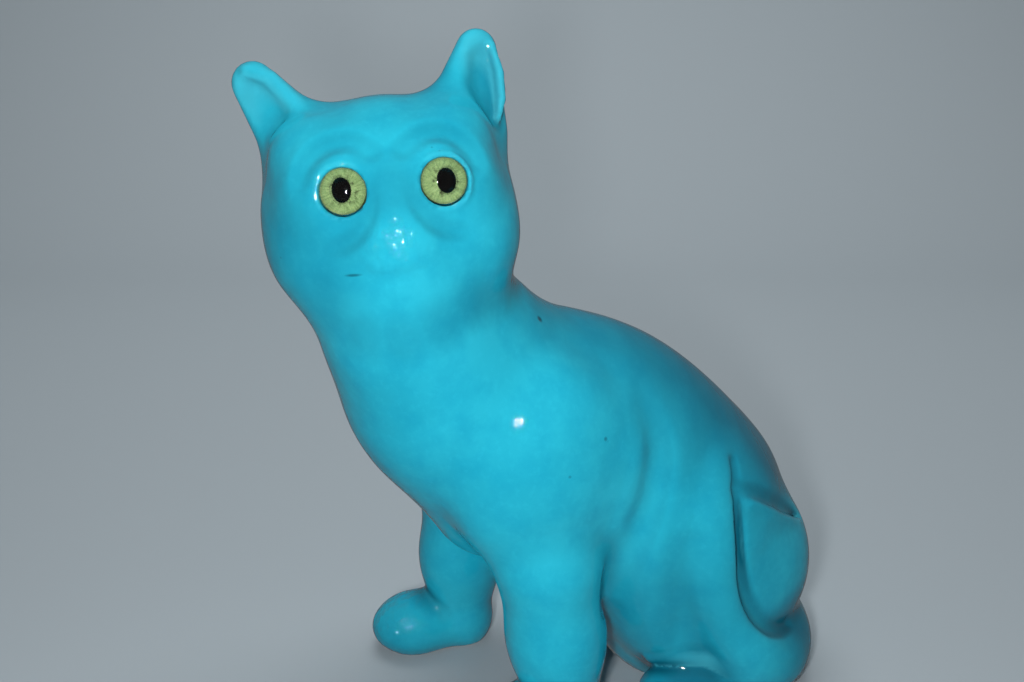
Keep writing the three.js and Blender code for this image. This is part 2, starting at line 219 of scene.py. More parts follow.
CREASES = [
    # upper lids
    (face_line([(-3.6, 2.0), (-3.3, 2.6), (-2.75, 3.12), (-2.03, 3.42), (-1.2, 3.4), (-0.55, 3.0)], 0.30, 0.22), 0.75),
    (face_line([(0.8, 2.95), (1.45, 3.32), (2.15, 3.42), (2.87, 3.18), (3.45, 2.65), (3.8, 2.0)], 0.30, 0.22), 0.75),
    # beside the nose
    (face_line([(-0.72, 1.25), (-0.92, 0.6), (-1.25, 0.0), (-1.85, -0.5), (-2.7, -0.85)], 0.20, 0.19), 0.5),
    (face_line([(0.9, 1.2), (1.12, 0.6), (1.5, 0.05), (2.1, -0.45), (2.95, -0.75)], 0.19, 0.2), 0.5),
    # mouth: a faint line
    (face_line([(-1.6, -1.9), (-0.9, -2.05), (-0.1, -2.1), (0.7, -2.05), (1.2, -1.97)], 0.14, 0.24), 0.5),
]


def head_field(p):
    h = to_head(p)
    d = head_form(h)
    for line, k in CREASES:
        d = along(d, h, line, cut, k)
    for e, o in zip(EYE_AT, EYE_OUT):
        d = cut(d, ball(h, (e[0] + o[0] * 1.42, e[1] + o[1] * 1.42, e[2] + 1.5), (1.2, 1.2, 1.3)), 0.9)
        # the raised rim of glaze round the glass, then the hole that the eye sits in
        q = [h[i] - float(e[i]) for i in range(3)]
        out = q[0] * float(o[0]) + q[1] * float(o[1]) + q[2] * float(o[2])
        rad = np.sqrt(np.maximum(q[0] ** 2 + q[1] ** 2 + q[2] ** 2 - out * out, 0))
        d = join(d, np.sqrt((rad - 1.02) ** 2 + (out - 0.0) ** 2) - 0.06, 0.3)
        low = np.sqrt(np.maximum(q[0] ** 2 + (q[1] + 0.035) ** 2 + q[2] ** 2 - out * out, 0))
        d = cut(d, np.maximum(low - 0.965, -out - EYE_DEPTH - 0.05), 0.07)
    for e in EARS:
        q = [h[i] - float(e["base"][i]) for i in range(3)]
        w = [q[0] * float(v[0]) + q[1] * float(v[1]) + q[2] * float(v[2]) for v in e["frame"]]
        w[1] = w[1] / EAR_THICK
        n = e["len"]
        ear = limb(w, (0, 0, -0.8), (0, 0, n), e["wide"], 0.95) * 0.75
        ear = cut(ear, limb(w, e["low"], (e["off"], 1.07, n - 0.35), 1.12, 0.6) * 0.75, 0.55)
        # a root of clay that the front of the ear runs down into
        root = ball(h, e["root"], (1.3, 1.2, 1.25))
        d = join(join(d, root, 1.3), ear, 1.15)
    # the rolled rim on the right ear's inner edge, and on the left ear's outer edge
    for rim in EAR_RIMS:
        d = along(d, h, rim, join, 0.4)
    return d


# ---------------------------------------------------------------- body, legs and tail
LEGS = [
    dict(s=1, girth=(2.5, 1.98, 1.76), hip=at(-0.9, 4.3, 8.8), knee=at(-1.25, 4.5, 5.0), ankle=at(-1.6, 4.55, 1.7),
         heel=at(-1.6, 4.55, 0.9), paw=at(0.5, 4.75, 1.05), shoulder=at(-0.7, 3.3, 13.6)),
    dict(s=-1, girth=(2.4, 1.82, 1.64), hip=at(0.3, -4.3, 8.8), knee=at(0.6, -4.45, 5.0), ankle=at(0.7, -4.4, 1.7),
         heel=at(0.5, -4.4, 0.9), paw=at(3.2, -4.65, 1.25), shoulder=at(0.2, -3.3, 13.6)),
]
SPINE = spline([(at(4.3, 0.2, 21.2), 3.68), (at(1.4, 0, 15.9), 5.13), (at(-4.6, 0, 12.6), 6.03), (at(-8.85, 0, 8.2), 6.33)], 6)
# the tail: out of the rear, round the left side on the ground, then up the flank as a band
TAIL = [
    (at(-13.3, -2.4, 2.1), 2.2), (at(-14.15, 0.8, 1.95), 2.12), (at(-13.7, 3.4, 1.85), 2.0), (at(-12.4, 5.15, 2.0), 1.8),
    (at(-10.75, 5.8, 3.3), 1.45), (at(-9.4, 5.8, 5.3), 1.12), (at(-8.7, 5.65, 7.4), 0.92), (at(-8.65, 5.42, 9.4), 0.8),
    (at(-8.65, 5.12, 11.2), 0.74), (at(-8.95, 4.6, 12.6), 0.5),
]
TAIL = spline(TAIL, 4)
VALLEY = [(at(-10.3, 6.9, 10.8), 0.3), (at(-10.4, 7.35, 9.6), 0.55), (at(-10.5, 7.5, 8), 0.7), (at(-10.9, 7.6, 6), 0.75), (at(-12.0, 7.4, 4.9), 0.6)]
PANEL = [(at(-7.0, 7.4, 9.3), 1.3), (at(-7.1, 7.9, 4.7), 2.5)]
TUCK = [(at(-5.2, 6.0, 3.7), 0.5), (at(-7.0, 6.7, 4.3), 0.8), (at(-8.9, 7.0, 3.6), 0.5)]
RIM = [(at(-6.4, 4.3, 2.6), 0.2), (at(-7.4, 5.1, 3.0), 0.36), (at(-8.9, 5.6, 2.75), 0.36), (at(-10.3, 6.2, 2.1), 0.3)]
RIM = spline(RIM, 4)
SHOULDER_LINE = spline([(at(-5.3, 4.5, 18.2), 0.3), (at(-5.6, 5.1, 16.4), 0.5), (at(-5.8, 5.65, 14.6), 0.62), (at(-5.4, 6.1, 12.6), 0.68),
                        (at(-4.75, 6.1, 10.6), 0.7), (at(-4.15, 5.8, 8.6), 0.68), (at(-3.8, 5.4, 7.0), 0.62)], 3)
TAIL_LINE = spline([(at(-9.85, 4.95, 13.0), 0.02), (at(-9.65, 5.7, 11.6), 0.07), (at(-9.6, 6.0, 10), 0.17), (at(-9.7, 6.2, 8.4), 0.2),
                    (at(-10.0, 6.4, 6.9), 0.22), (at(-10.6, 6.55, 5.5), 0.24), (at(-11.5, 6.55, 4.5), 0.24), (at(-12.5, 6.15, 3.95), 0.2), (at(-13.2, 5.6, 3.75), 0.05)], 3)
RUMP_LINE = spline([(at(-9.75, 5.72, 11.95), 0.04), (at(-10.3, 5.68, 11.72), 0.12), (at(-11.0, 5.52, 11.37), 0.18), (at(-11.75, 5.28, 10.85), 0.2),
                    (at(-12.35, 5.02, 10.42), 0.2), (at(-12.95, 4.7, 9.95), 0.2), (at(-13.5, 4.35, 9.5), 0.13), (at(-14.05, 3.9, 8.95), 0.06),
                    (at(-14.45, 3.5, 8.4), 0.01)], 3)
RUMP_LIP = [(c + np.array([-0.05, 0.0, -0.6]), r * 0.6 * math.sin(math.pi * (i + 0.5) / 18.0)) for i, (c, r) in enumerate(RUMP_LINE[4:22])]


def part(d, p, where, how):
    """how(d, p) put in only where the test holds."""
    i = np.nonzero(where)[0]
    if len(i):
        d[i] = how(d[i], [v[i] for v in p])
    return d


def foreleg(g):
    def how(d, p):
        d = join(d, ball(p, g["shoulder"], (3.15, 4.3, 5.3)), 0.8)
        return part(d, p, p[2] < 14.4 + REACH[0], lower)

    def lower(d, p):
        leg = chain(p, [(g["hip"], g["girth"][0]), (g["knee"], g["girth"][1]), (g["ankle"], g["girth"][2])], 1.6)
        leg = join(leg, limb(p, g["heel"], g["paw"], 1.35, 1.25), 0.7)
        leg = join(leg, limb(p, g["ankle"], g["paw"], 1.3, 1.25), 0.7)
        leg = join(leg, ball(p, g["paw"], (1.95, 2.25, 1.5)), 0.7)
        return join(d, leg, 1.1)
    return how


def haunch(s):
    def how(d, p):
        d = join(d, ball(p, at(-8.95, s * 3.0, 7.7), (3.4, 4.4, 5.9)), 1.2)
        d = join(d, ball(p, at(-7.7, s * 2.55, 5.7), (3.15, 2.75, 4.2)), 0.8)
        return join(d, chain(p, [(at(-10.2, s * 4.9, 1.2), 1.6), (at(-8.2, s * 5.0, 1.1), 1.5), (at(-6.9, s * 5.1, 0.95), 1.4)], 0.5), 0.5)
    return how


def upper_trunk(d, p):
    d = join(d, ball(p, at(2.2, 0, 17.2), (4.9, 4.65, 5.0)), 1.5)
    d = join(d, ball(p, at(4.7, 1.2, 20.9), (3.7, 3.4, 3.6)), 2.0)
    return join(d, limb(p, at(1.1, 0, 14.4), at(0.45, 0.2, 10.7), 3.6, 2.9), 1.4)


def field(p):
    x, y, z = p
    m = REACH[0]
    d = chain([x * 1.07, y, z], SPINE, 0.3)
    d = part(d, p, (z > 5.8 - m) & (y < 6.2 + m), upper_trunk)
    d = part(d, p, (z < 11.8 + m) & (y > 3.4 - m), lambda a, q: join(a, ball(q, at(-10.2, 0, 4.4), (5.4, 5.4, 6.0)), 1.4))
    for g in LEGS:
        d = part(d, p, (z < 19.7 + m) & (y < 6.6 + m) & (x * g["s"] > -2.2 - m), foreleg(g))
        d = part(d, p, (z < 14.8 + m) & (y > 3.4 - m) & (x * g["s"] > -2.6 - m), haunch(g["s"]))
    side = [np.abs(x), y, z]
    fore = [side[0], y + np.where(x < 0, 0.9, 0.0), z]
    d = along(d, fore, SHOULDER_LINE, cut, 0.75)
    d = along(d, side, PANEL, cut, 0.8)
    d = along(d, side, TUCK, cut, 0.5)
    d = along(d, side, RIM, join, 0.45)
    d = along(d, p, VALLEY, cut, 0.5, 0.5)
    d = along(d, p, TAIL, join, 0.9, 0.25)
    d = part(d, p, (z < 11.0 + m) & (y > 6.2 - m) & (x > -3.6 - m), lambda a, q: join(a, ball(q, at(-10.95, 1.8, 5.9), (4.4, 5.0, 5.2)), 0.6))
    d = along(d, p, TAIL_LINE, cut, 0.5)
    d = along(d, p, RUMP_LIP, join, 0.9)
    d = along(d, p, RUMP_LINE, cut, 0.6)
    d = part(d, p, z > 18.4 - m, lambda a, q: join(a, head_field(q), 1.4))
    return cut(d, z, 0.12)


# ---------------------------------------------------------------- polygonising
def batches(fn, p, size=60000):
    """fn over rows of points, a batch at a time."""
    out = np.empty(len(p))
    for s in range(0, len(p), size):
        q = p[s:s + size].T
        out[s:s + size] = fn([np.ascontiguousarray(q[0]), np.ascontiguousarray(q[1]), np.ascontiguousarray(q[2])])
    return out


def sampled(fn, lo, hi, step, block=4):
    """fn on a grid, worked out only in the blocks that the surface may pass through."""
    n = np.ceil((hi - lo) / (step * block)).astype(int)
    dims = n * block + 1
    cx = [lo[i] + (np.arange(n[i]) + 0.5) * step * block for i in range(3)]
    c = np.stack(np.meshgrid(*cx, indexing="ij"), -1).reshape(-1, 3)
    dc = batches(fn, c)
    near = np.abs(dc) < step * block * 1.05
    full = np.where(dc.reshape(n) < 0, -1.0, 1.0).astype(np.float32)
    val = np.ones(dims, dtype=np.float32)
    val[:-1, :-1, :-1] = np.repeat(np.repeat(np.repeat(full, block, 0), block, 1), block, 2)
    need = np.zeros(dims, dtype=bool)
    for i, j, k in np.argwhere(near.reshape(n)):
        need[i * block:(i + 1) * block + 1, j * block:(j + 1) * block + 1, k * block:(k + 1) * block + 1] = True
    idx = np.argwhere(need)
    val[need] = batches(fn, lo + idx * step)
    return val, need


def gradient(fn, p, e, f0=None):
    g = np.empty_like(p)
    for a in range(3):
        s = np.zeros(3)
        s[a] = e
        g[:, a] = (batches(fn, p + s) - (f0 if f0 is not None else batches(fn, p - s))) / (e if f0 is not None else 2 * e)
    return g


def surface(fn, lo, hi, step):
    val, need = sampled(fn, lo, hi, step)
    neg = val < 0
    corner = lambda a, i, j, k: a[i:a.shape[0] - 1 + i, j:a.shape[1] - 1 + j, k:a.shape[2] - 1 + k]
    count = sum(corner(neg, i, j, k).astype(np.int8) for i in (0, 1) for j in (0, 1) for k in (0, 1))
    active = (count > 0) & (count < 8)
    for i in (0, 1):
        for j in (0, 1):
            for k in (0, 1):
                active &= corner(need, i, j, k)
    cells = np.argwhere(active)
    vid = np.full(active.shape, -1, dtype=np.int32)
    vid[active] = np.arange(len(cells))
    total = np.zeros((len(cells), 3))
    n = np.zeros(len(cells))
    for c in range(8):
        a = np.array([c & 1, (c >> 1) & 1, c >> 2])
        for bit in range(3):
            if a[bit]:
                continue
            b = a.copy()
            b[bit] = 1
            ia, ib = cells + a, cells + b
            va = val[ia[:, 0], ia[:, 1], ia[:, 2]].astype(float)
            vb = val[ib[:, 0], ib[:, 1], ib[:, 2]].astype(float)
            m = (va < 0) != (vb < 0)
            t = np.where(m, va / np.where(m, va - vb, 1), 0)
            pt = lo + (ia + t[:, None] * (ib - ia)) * step
            total += np.where(m[:, None], pt, 0)
            n += m
    p = total / n[:, None]
    start = p.copy()
    for _ in range(2):
        f = batches(fn, p)
        g = gradient(fn, p, 0.015, f)
        gg = np.maximum((g * g).sum(1), 0.05)
        p = p - np.clip((f / gg)[:, None] * g, -0.3 * step, 0.3 * step)
    p = np.clip(p, start - 0.6 * step, start + 0.6 * step)
    quads = []
    for axis in range(3):
        a = [slice(None)] * 3
        a[axis] = slice(0, -1)
        b = [slice(None)] * 3
        b[axis] = slice(1, None)
        lo_in = neg[tuple(a)]
        hi_in = neg[tuple(b)]
        e = np.argwhere(lo_in != hi_in)
        o1, o2 = (axis + 1) % 3, (axis + 2) % 3
        ok = (e[:, o1] > 0) & (e[:, o2] > 0) & (e[:, o1] < val.shape[o1] - 1) & (e[:, o2] < val.shape[o2] - 1)
        e = e[ok]
        inside = lo_in[e[:, 0], e[:, 1], e[:, 2]]

        def cell(d1, d2):
            q = e.copy()
            q[:, o1] += d1
            q[:, o2] += d2
            return vid[q[:, 0], q[:, 1], q[:, 2]]
        f4 = np.stack([cell(-1, -1), cell(0, -1), cell(0, 0), cell(-1, 0)], 1)
        f4[~inside] = f4[~inside][:, ::-1]
        quads.append(f4)
    quads = np.concatenate(quads)
    quads = quads[(quads >= 0).all(1)]
    return p, quads


def to_metres(p):
    return (p - SHIFT) * MODULE


def mesh_object(name, verts, faces, smooth=True):
    me = bpy.data.meshes.new(name)
    if isinstance(faces, np.ndarray):
        me.vertices.add(len(verts))
        me.vertices.foreach_set("co", np.asarray(verts, dtype=np.float32).reshape(-1))
        me.loops.add(faces.size)
        me.loops.foreach_set("vertex_index", faces.astype(np.int32).reshape(-1))
        me.polygons.add(len(faces))
        me.polygons.foreach_set("loop_start", np.arange(len(faces), dtype=np.int32) * faces.shape[1])
        me.update(calc_edges=True)
    else:
        me.from_pydata([tuple(v) for v in verts], [], [tuple(int(i) for i in f) for f in faces])
    me.validate()
    me.polygons.foreach_set("use_smooth", [smooth] * len(me.polygons))
    me.update()
    ob = bpy.data.objects.new(name, me)
    bpy.context.scene.collection.objects.link(ob)
    return ob


# ---------------------------------------------------------------- the cat
lo = np.array([-8.0, -12.6, -0.5])
hi = np.array([8.4, 17.6, 33.6])
step = VOXEL * 1.0
verts, quads = surface(field, lo, hi, step)
print("surface", round(time.time() - began, 1), "s")
normal = gradient(field, verts, 0.03, batches(field, verts))
normal /= np.maximum(np.linalg.norm(normal, axis=1), 1e-6)[:, None]
REACH[0] = 2.4
# painted shade: how closed in each point is, from the field a little way out along its normal, darkens the glaze in
# creases and hollows
hollow_shade = np.zeros(len(verts))
for r, w in ((0.35, 0.4), (0.9, 0.45), (2.0, 0.15)):
    hollow_shade += w * np.clip(1.0 - batches(field, verts + normal * r) / r, 0, 1)
# less of this painted shade at one ear's root crease and on the lower flank on both sides
hollow_shade *= 1.0 - 0.5 * np.clip(1.6 - np.sqrt(((verts - from_head((-4.2, 4.1, -0.3))) ** 2).sum(1)) / 1.1, 0, 1)
hollow_shade *= 1.0 - 0.7 * np.clip(1.6 - np.sqrt(((np.abs(verts) - np.abs(at(-4.8, 4.3, 5.4))) ** 2).sum(1)) / 2.0, 0, 1)
ridge = np.clip(1.0 + batches(field, verts - normal * 0.8) / 0.8, 0, 1)
for e in EYE_AT:
    away = np.sqrt(((verts - from_head(e)) ** 2).sum(1))
    ridge *= 0.5 * np.clip((1.4 - away) / 0.25, 0, 1) + np.clip((away - 2.6) / 1.0, 0, 1)

cat = mesh_object("cat_skin", to_metres(verts), quads)
for label, data in (("hollow_shade", hollow_shade), ("ridge", ridge)):
    layer = cat.data.attributes.new(label, "FLOAT", "POINT")
    layer.data.foreach_set("value", data.astype(np.float32))
print("cat_skin", len(verts), "points", len(quads) * 2, "triangles", round(time.time() - began, 1), "s")

# where the glaze lies rough and glitters: the muzzle, a paw, the thigh, the shoulder, an ear
peel = np.zeros(len(verts))
for c, r, w in ((from_head((0.1, -0.75, 5.0)), 1.1, 0.95), (from_head((0.2, 1.2, 4.6)), 0.8, 0.12), (at(4.2, -4.4, 2.6), 1.5, 1.0),
                (at(-8.1, 5.9, 11.3), 1.3, 0.35), (at(0.5, 5.55, 17.1), 0.8, 0.32), (from_head((4.3, 5.3, 0.2)), 1.1, 0.2), (from_head((-4.4, 4.9, 0.2)), 0.9, 0.12)):
    away = np.sqrt(((verts - c) ** 2).sum(1)) / r
    peel = np.maximum(peel, w * np.clip(1.6 - away, 0, 1))
# painted shade: a darker glaze colour laid where shade falls, on the back and rump, the thigh panels, the hind feet and
# a front paw, the tail on the ground, under the chin, one cheek and the nose bridge
painted_shade = np.zeros(len(verts))
# points under the chin where that painted shade is laid
UNDER_CHIN_SHADE = [at(8.3, 3.0, 21.5), at(7.2, 4.1, 21.0), at(5.8, 4.9, 20.9), at(4.3, 5.1, 21.4), at(2.9, 4.8, 22.2)]
for c, r, w in ((at(-6.6, 5.8, 5.6), 3.1, 0.34), (at(-6.6, -5.8, 5.6), 3.1, 0.34), (at(-8.0, 5.2, 1.4), 2.0, 1.0), (at(-8.0, -5.2, 1.4), 2.0, 1.0),
                (at(-12.2, 4.5, 7.0), 3.6, 0.15), (at(-13.2, 4.6, 2.8), 2.3, 0.95), (at(-13.5, 2.0, 10.5), 2.6, 0.3), (from_head((0.1, 1.3, 4.6)), 1.1, 0.4),
                (from_head((-3.6, -1.2, 3.0)), 2.4, 0.35), (at(-1.8, 0.4, 20.2), 2.9, 0.52), (at(-4.6, 0.6, 18.8), 3.5, 0.68), (at(-7.4, 0.9, 17.0), 3.9, 0.8), (at(-9.8, 1.2, 14.8), 4.0, 0.88), (at(-12.0, 1.8, 12.2), 3.6, 0.95), (at(4.5, -4.6, 0.8), 2.4, 0.35), (UNDER_CHIN_SHADE[0], 0.9, 0.22), (UNDER_CHIN_SHADE[1], 1.0, 0.28), (UNDER_CHIN_SHADE[2], 1.0, 0.28), (UNDER_CHIN_SHADE[3], 1.0, 0.28), (UNDER_CHIN_SHADE[4], 1.0, 0.25)):
    away = np.sqrt(((verts - c) ** 2).sum(1)) / r
    painted_shade = np.maximum(painted_shade, w * np.clip(1.6 - away, 0, 1))
foot = ((verts[:, 2] < 0.1) & (normal[:, 2] < -0.6)).astype(float)
for label, data in (("peel", peel), ("foot", foot), ("painted_shade", painted_shade)):
    layer = cat.data.attributes.new(label, "FLOAT", "POINT")
    layer.data.foreach_set("value", data.astype(np.float32))


# ---------------------------------------------------------------- materials
def new_material(name):
    m = bpy.data.materials.new(name)
    m.use_nodes = True
    nt = m.node_tree
    nt.nodes.clear()
    out = nt.nodes.new("ShaderNodeOutputMaterial")
    bsdf = nt.nodes.new("ShaderNodeBsdfPrincipled")
    nt.links.new(bsdf.outputs[0], out.inputs[0])
    return m, nt, bsdf, out


def noise(nt, scale, detail=3.0, rough=0.5, coord=None, kind="ShaderNodeTexNoise"):
    n = nt.nodes.new(kind)
    n.inputs["Scale"].default_value = scale
    if "Detail" in n.inputs:
        n.inputs["Detail"].default_value = detail
    if "Roughness" in n.inputs:
        n.inputs["Roughness"].default_value = rough
    if coord is not None:
        nt.links.new(coord, n.inputs["Vector"])
    return n


def ramp(nt, src, stops):
    r = nt.nodes.new("ShaderNodeValToRGB")
    while len(r.color_ramp.elements) < len(stops):
        r.color_ramp.elements.new(0.5)
    for e, (pos, col) in zip(r.color_ramp.elements, stops):
        e.position = pos
        e.color = (*col, 1) if len(col) == 3 else (col[0],) * 3 + (1,)
    nt.links.new(src, r.inputs[0])
    return r


def mix_colour(nt, fac, a, b, blend="MIX"):
    n = nt.nodes.new("ShaderNodeMix")
    n.data_type = "RGBA"
    n.blend_type = blend
    for sock, v in ((n.inputs[0], fac), (n.inputs[6], a), (n.inputs[7], b)):
        if hasattr(v, "links"):
            nt.links.new(v, sock)
        elif isinstance(v, (int, float)):
            sock.default_value = v
        else:
            sock.default_value = (*v, 1)
    return n.outputs[2]


def math_node(nt, op, a, b=None, clamp=False):
    n = nt.nodes.new("ShaderNodeMath")
    n.operation = op
    n.use_clamp = clamp
    for i, v in enumerate((a, b)):
        if v is None:
            continue
        if hasattr(v, "links"):
            nt.links.new(v, n.inputs[i])
        else:
            n.inputs[i].default_value = v
    return n.outputs[0]


def srgb(r, g, b):
    return tuple(((c / 255) / 12.92 if c / 255 <= 0.04045 else ((c / 255 + 0.055) / 1.055) ** 2.4) for c in (r, g, b))


def attribute(nt, name, out="Fac"):
    a = nt.nodes.new("ShaderNodeAttribute")
    a.attribute_name = name
    return a.outputs[out]


# pits in the glaze: on the nape and behind the left shoulder, then one on the right side and one on the rump
PITS = [(at(-1.03, 2.61, 20.26), 0.0011, 1.0), (at(-2.92, 5.77, 15.54), 0.0007, 0.6), (at(-3.05, 5.82, 15.42), 0.0005, 0.5),
        (at(-0.98, 6.41, 14.33), 0.0005, 0.5), (at(-6.1, -4.6, 15.0), 0.0006, 0.6), (at(-12.5, -1.5, 11.0), 0.0007, 0.6)]
DASH = at(7.58, 4.35, 23.65)      # a short dark dash at the right corner of the mouth


def glaze_material():
    m, nt, bsdf, out = new_material("turquoise_glaze")
    co = nt.nodes.new("ShaderNodeTexCoord").outputs["Object"]
    broad = noise(nt, 13.0, 3.0, 0.55, co)
    mid = noise(nt, 75.0, 4.0, 0.6, co)
    fine = noise(nt, 420.0, 3.0, 0.6, co)
    base = ramp(nt, broad.outputs[0], [(0.3, srgb(24, 153, 178)), (0.5, srgb(32, 165, 189)), (0.7, srgb(40, 175, 198))])
    col = mix_colour(nt, ramp(nt, mid.outputs[0], [(0.42, (0.0,)), (0.75, (0.5,))]).outputs[0], base.outputs[0], srgb(5, 140, 172))
    col = mix_colour(nt, ramp(nt, fine.outputs[0], [(0.50, (0.0,)), (0.78, (0.18,))]).outputs[0], col, srgb(50, 188, 212))
    # painted shade: the glaze turns darker teal where the painted shade attribute is high
    painted_shade_ramp = ramp(nt, attribute(nt, "painted_shade"), [(0.0, (0.0,)), (1.0, (0.85,))])
    col = mix_colour(nt, painted_shade_ramp.outputs[0], col, srgb(10, 88, 112))
    # painted shade in creases and hollows: darker teal where the hollow shade attribute is high
    hollow_shade_ramp = ramp(nt, attribute(nt, "hollow_shade"), [(0.10, (0.0,)), (0.26, (0.30,)), (0.55, (0.75,)), (0.8, (0.95,))])
    col = mix_colour(nt, hollow_shade_ramp.outputs[0], col, srgb(8, 84, 104))
    pale = ramp(nt, attribute(nt, "ridge"), [(0.35, (0.0,)), (0.75, (0.34,))])
    col = mix_colour(nt, pale.outputs[0], col, srgb(80, 196, 214))
    # iron specks, and the pits
    specks = nt.nodes.new("ShaderNodeTexVoronoi")
    specks.inputs["Scale"].default_value = 230.0
    nt.links.new(co, specks.inputs["Vector"])
    where = noise(nt, 50.0, 2.0, 0.5, co)
    s1 = ramp(nt, specks.outputs["Distance"], [(0.05, (1.0,)), (0.12, (0.0,))])
    s2 = ramp(nt, where.outputs[0], [(0.70, (0.0,)), (0.74, (0.7,))])
    speck = math_node(nt, "MULTIPLY", s1.outputs[0], s2.outputs[0])
    for c, r, w in PITS:
        c = to_metres(c)
        d = nt.nodes.new("ShaderNodeVectorMath")
        d.operation = "DISTANCE"
        nt.links.new(co, d.inputs[0])
        d.inputs[1].default_value = tuple(float(v) for v in c)
        near = ramp(nt, math_node(nt, "MULTIPLY", d.outputs["Value"], 100.0), [(r * 55, (w,)), (r * 140, (0.0,))])
        speck = math_node(nt, "MAXIMUM", speck, near.outputs[0])
    dash = nt.nodes.new("ShaderNodeMapping")
    dash.vector_type = "TEXTURE"
    nt.links.new(co, dash.inputs["Vector"])
    dash.inputs["Location"].default_value = tuple(float(v) for v in to_metres(DASH))
    dash.inputs["Rotation"].default_value = tuple(Matrix(AXES.T.tolist()).to_euler())
    dash.inputs["Scale"].default_value = (0.0034, 0.0006, 0.004)
    far = nt.nodes.new("ShaderNodeVectorMath")
    far.operation = "LENGTH"
    nt.links.new(dash.outputs[0], far.inputs[0])
    speck = math_node(nt, "MAXIMUM", speck, ramp(nt, far.outputs["Value"], [(0.35, (0.75,)), (1.0, (0.0,))]).outputs[0])
    col = mix_colour(nt, math_node(nt, "MULTIPLY", speck, 0.8), col, srgb(6, 52, 66))
    foot = attribute(nt, "foot")
    bare = mix_colour(nt, mid.outputs[0], srgb(226, 222, 210), srgb(196, 188, 170))
    col = mix_colour(nt, foot, col, bare)
    nt.links.new(col, bsdf.inputs["Base Color"])
    rough = ramp(nt, fine.outputs[0], [(0.35, (0.30,)), (0.7, (0.40,))])
    nt.links.new(math_node(nt, "MAXIMUM", rough.outputs[0], math_node(nt, "MULTIPLY", foot, 0.9)), bsdf.inputs["Roughness"])
    bsdf.inputs["IOR"].default_value = 1.5
    bsdf.inputs["Specular IOR Level"].default_value = 0.0
    bsdf.inputs["Coat Weight"].default_value = 1.0
    bsdf.inputs["Coat Roughness"].default_value = 0.04
    bsdf.inputs["Coat IOR"].default_value = 1.45
    # heights in metres: orange peel, coarser where the glaze lies rough; slow waves of the cast wall; pits
    peel = noise(nt, 340.0, 1.2, 0.5, co)
    waves = noise(nt, 85.0, 2.0, 0.5, co)
    slow = math_node(nt, "SUBTRACT", math_node(nt, "MULTIPLY", waves.outputs[0], 0.0004), math_node(nt, "MULTIPLY", speck, 0.0002))
    amount = math_node(nt, "ADD", math_node(nt, "MULTIPLY", attribute(nt, "peel"), 0.0022), 0.00003)
    grain = math_node(nt, "MULTIPLY", peel.outputs[0], amount)
    for height, socket in ((math_node(nt, "ADD", slow, math_node(nt, "MULTIPLY", grain, 0.08)), "Normal"), (math_node(nt, "ADD", slow, grain), "Coat Normal")):
        bump = nt.nodes.new("ShaderNodeBump")
        bump.inputs["Strength"].default_value = 1.0
        bump.inputs["Distance"].default_value = 1.0
        nt.links.new(height, bump.inputs["Height"])
        nt.links.new(bump.outputs[0], bsdf.inputs[socket])
    return m


cat.data.materials.append(glaze_material())


def eye_frame(i):
    c = to_metres(from_head(EYE_AT[i]))
    o = EYE_OUT[i]
    out = unit(o[0] * AXES[0] + o[1] * AXES[1] + o[2] * AXES[2])
    up = unit(AXES[1] - out * (AXES[1] @ out))
    side = np.cross(up, out)
    return c, side, up, out


def lathe(profile, segs):
    """Rings of (radius, height) round +Z; a radius of 0 closes with one point."""
    v, f, rings = [], [], []
    for r, z in profile:
        if r < 1e-9:
            rings.append([len(v)])
            v.append((0, 0, z))
        else:
            ring = []
            for j in range(segs):
                t = 2 * math.pi * j / segs
                ring.append(len(v))
                v.append((r * math.cos(t), r * math.sin(t), z))
            rings.append(ring)
    for a, b in zip(rings[:-1], rings[1:]):
        for j in range(segs):
            k = (j + 1) % segs
            if len(a) == 1:
                f.append((a[0], b[k], b[j])[::-1])
            elif len(b) == 1:
                f.append((a[j], a[k], b[0]))
            else:
                f.append((a[j], a[k], b[k], b[j]))
    return v, f


def place(v, fr):
    c, side, up, out = fr
    v = np.asarray(v, dtype=float)
    return v[:, :1] * side + v[:, 1:2] * up + v[:, 2:3] * out + c


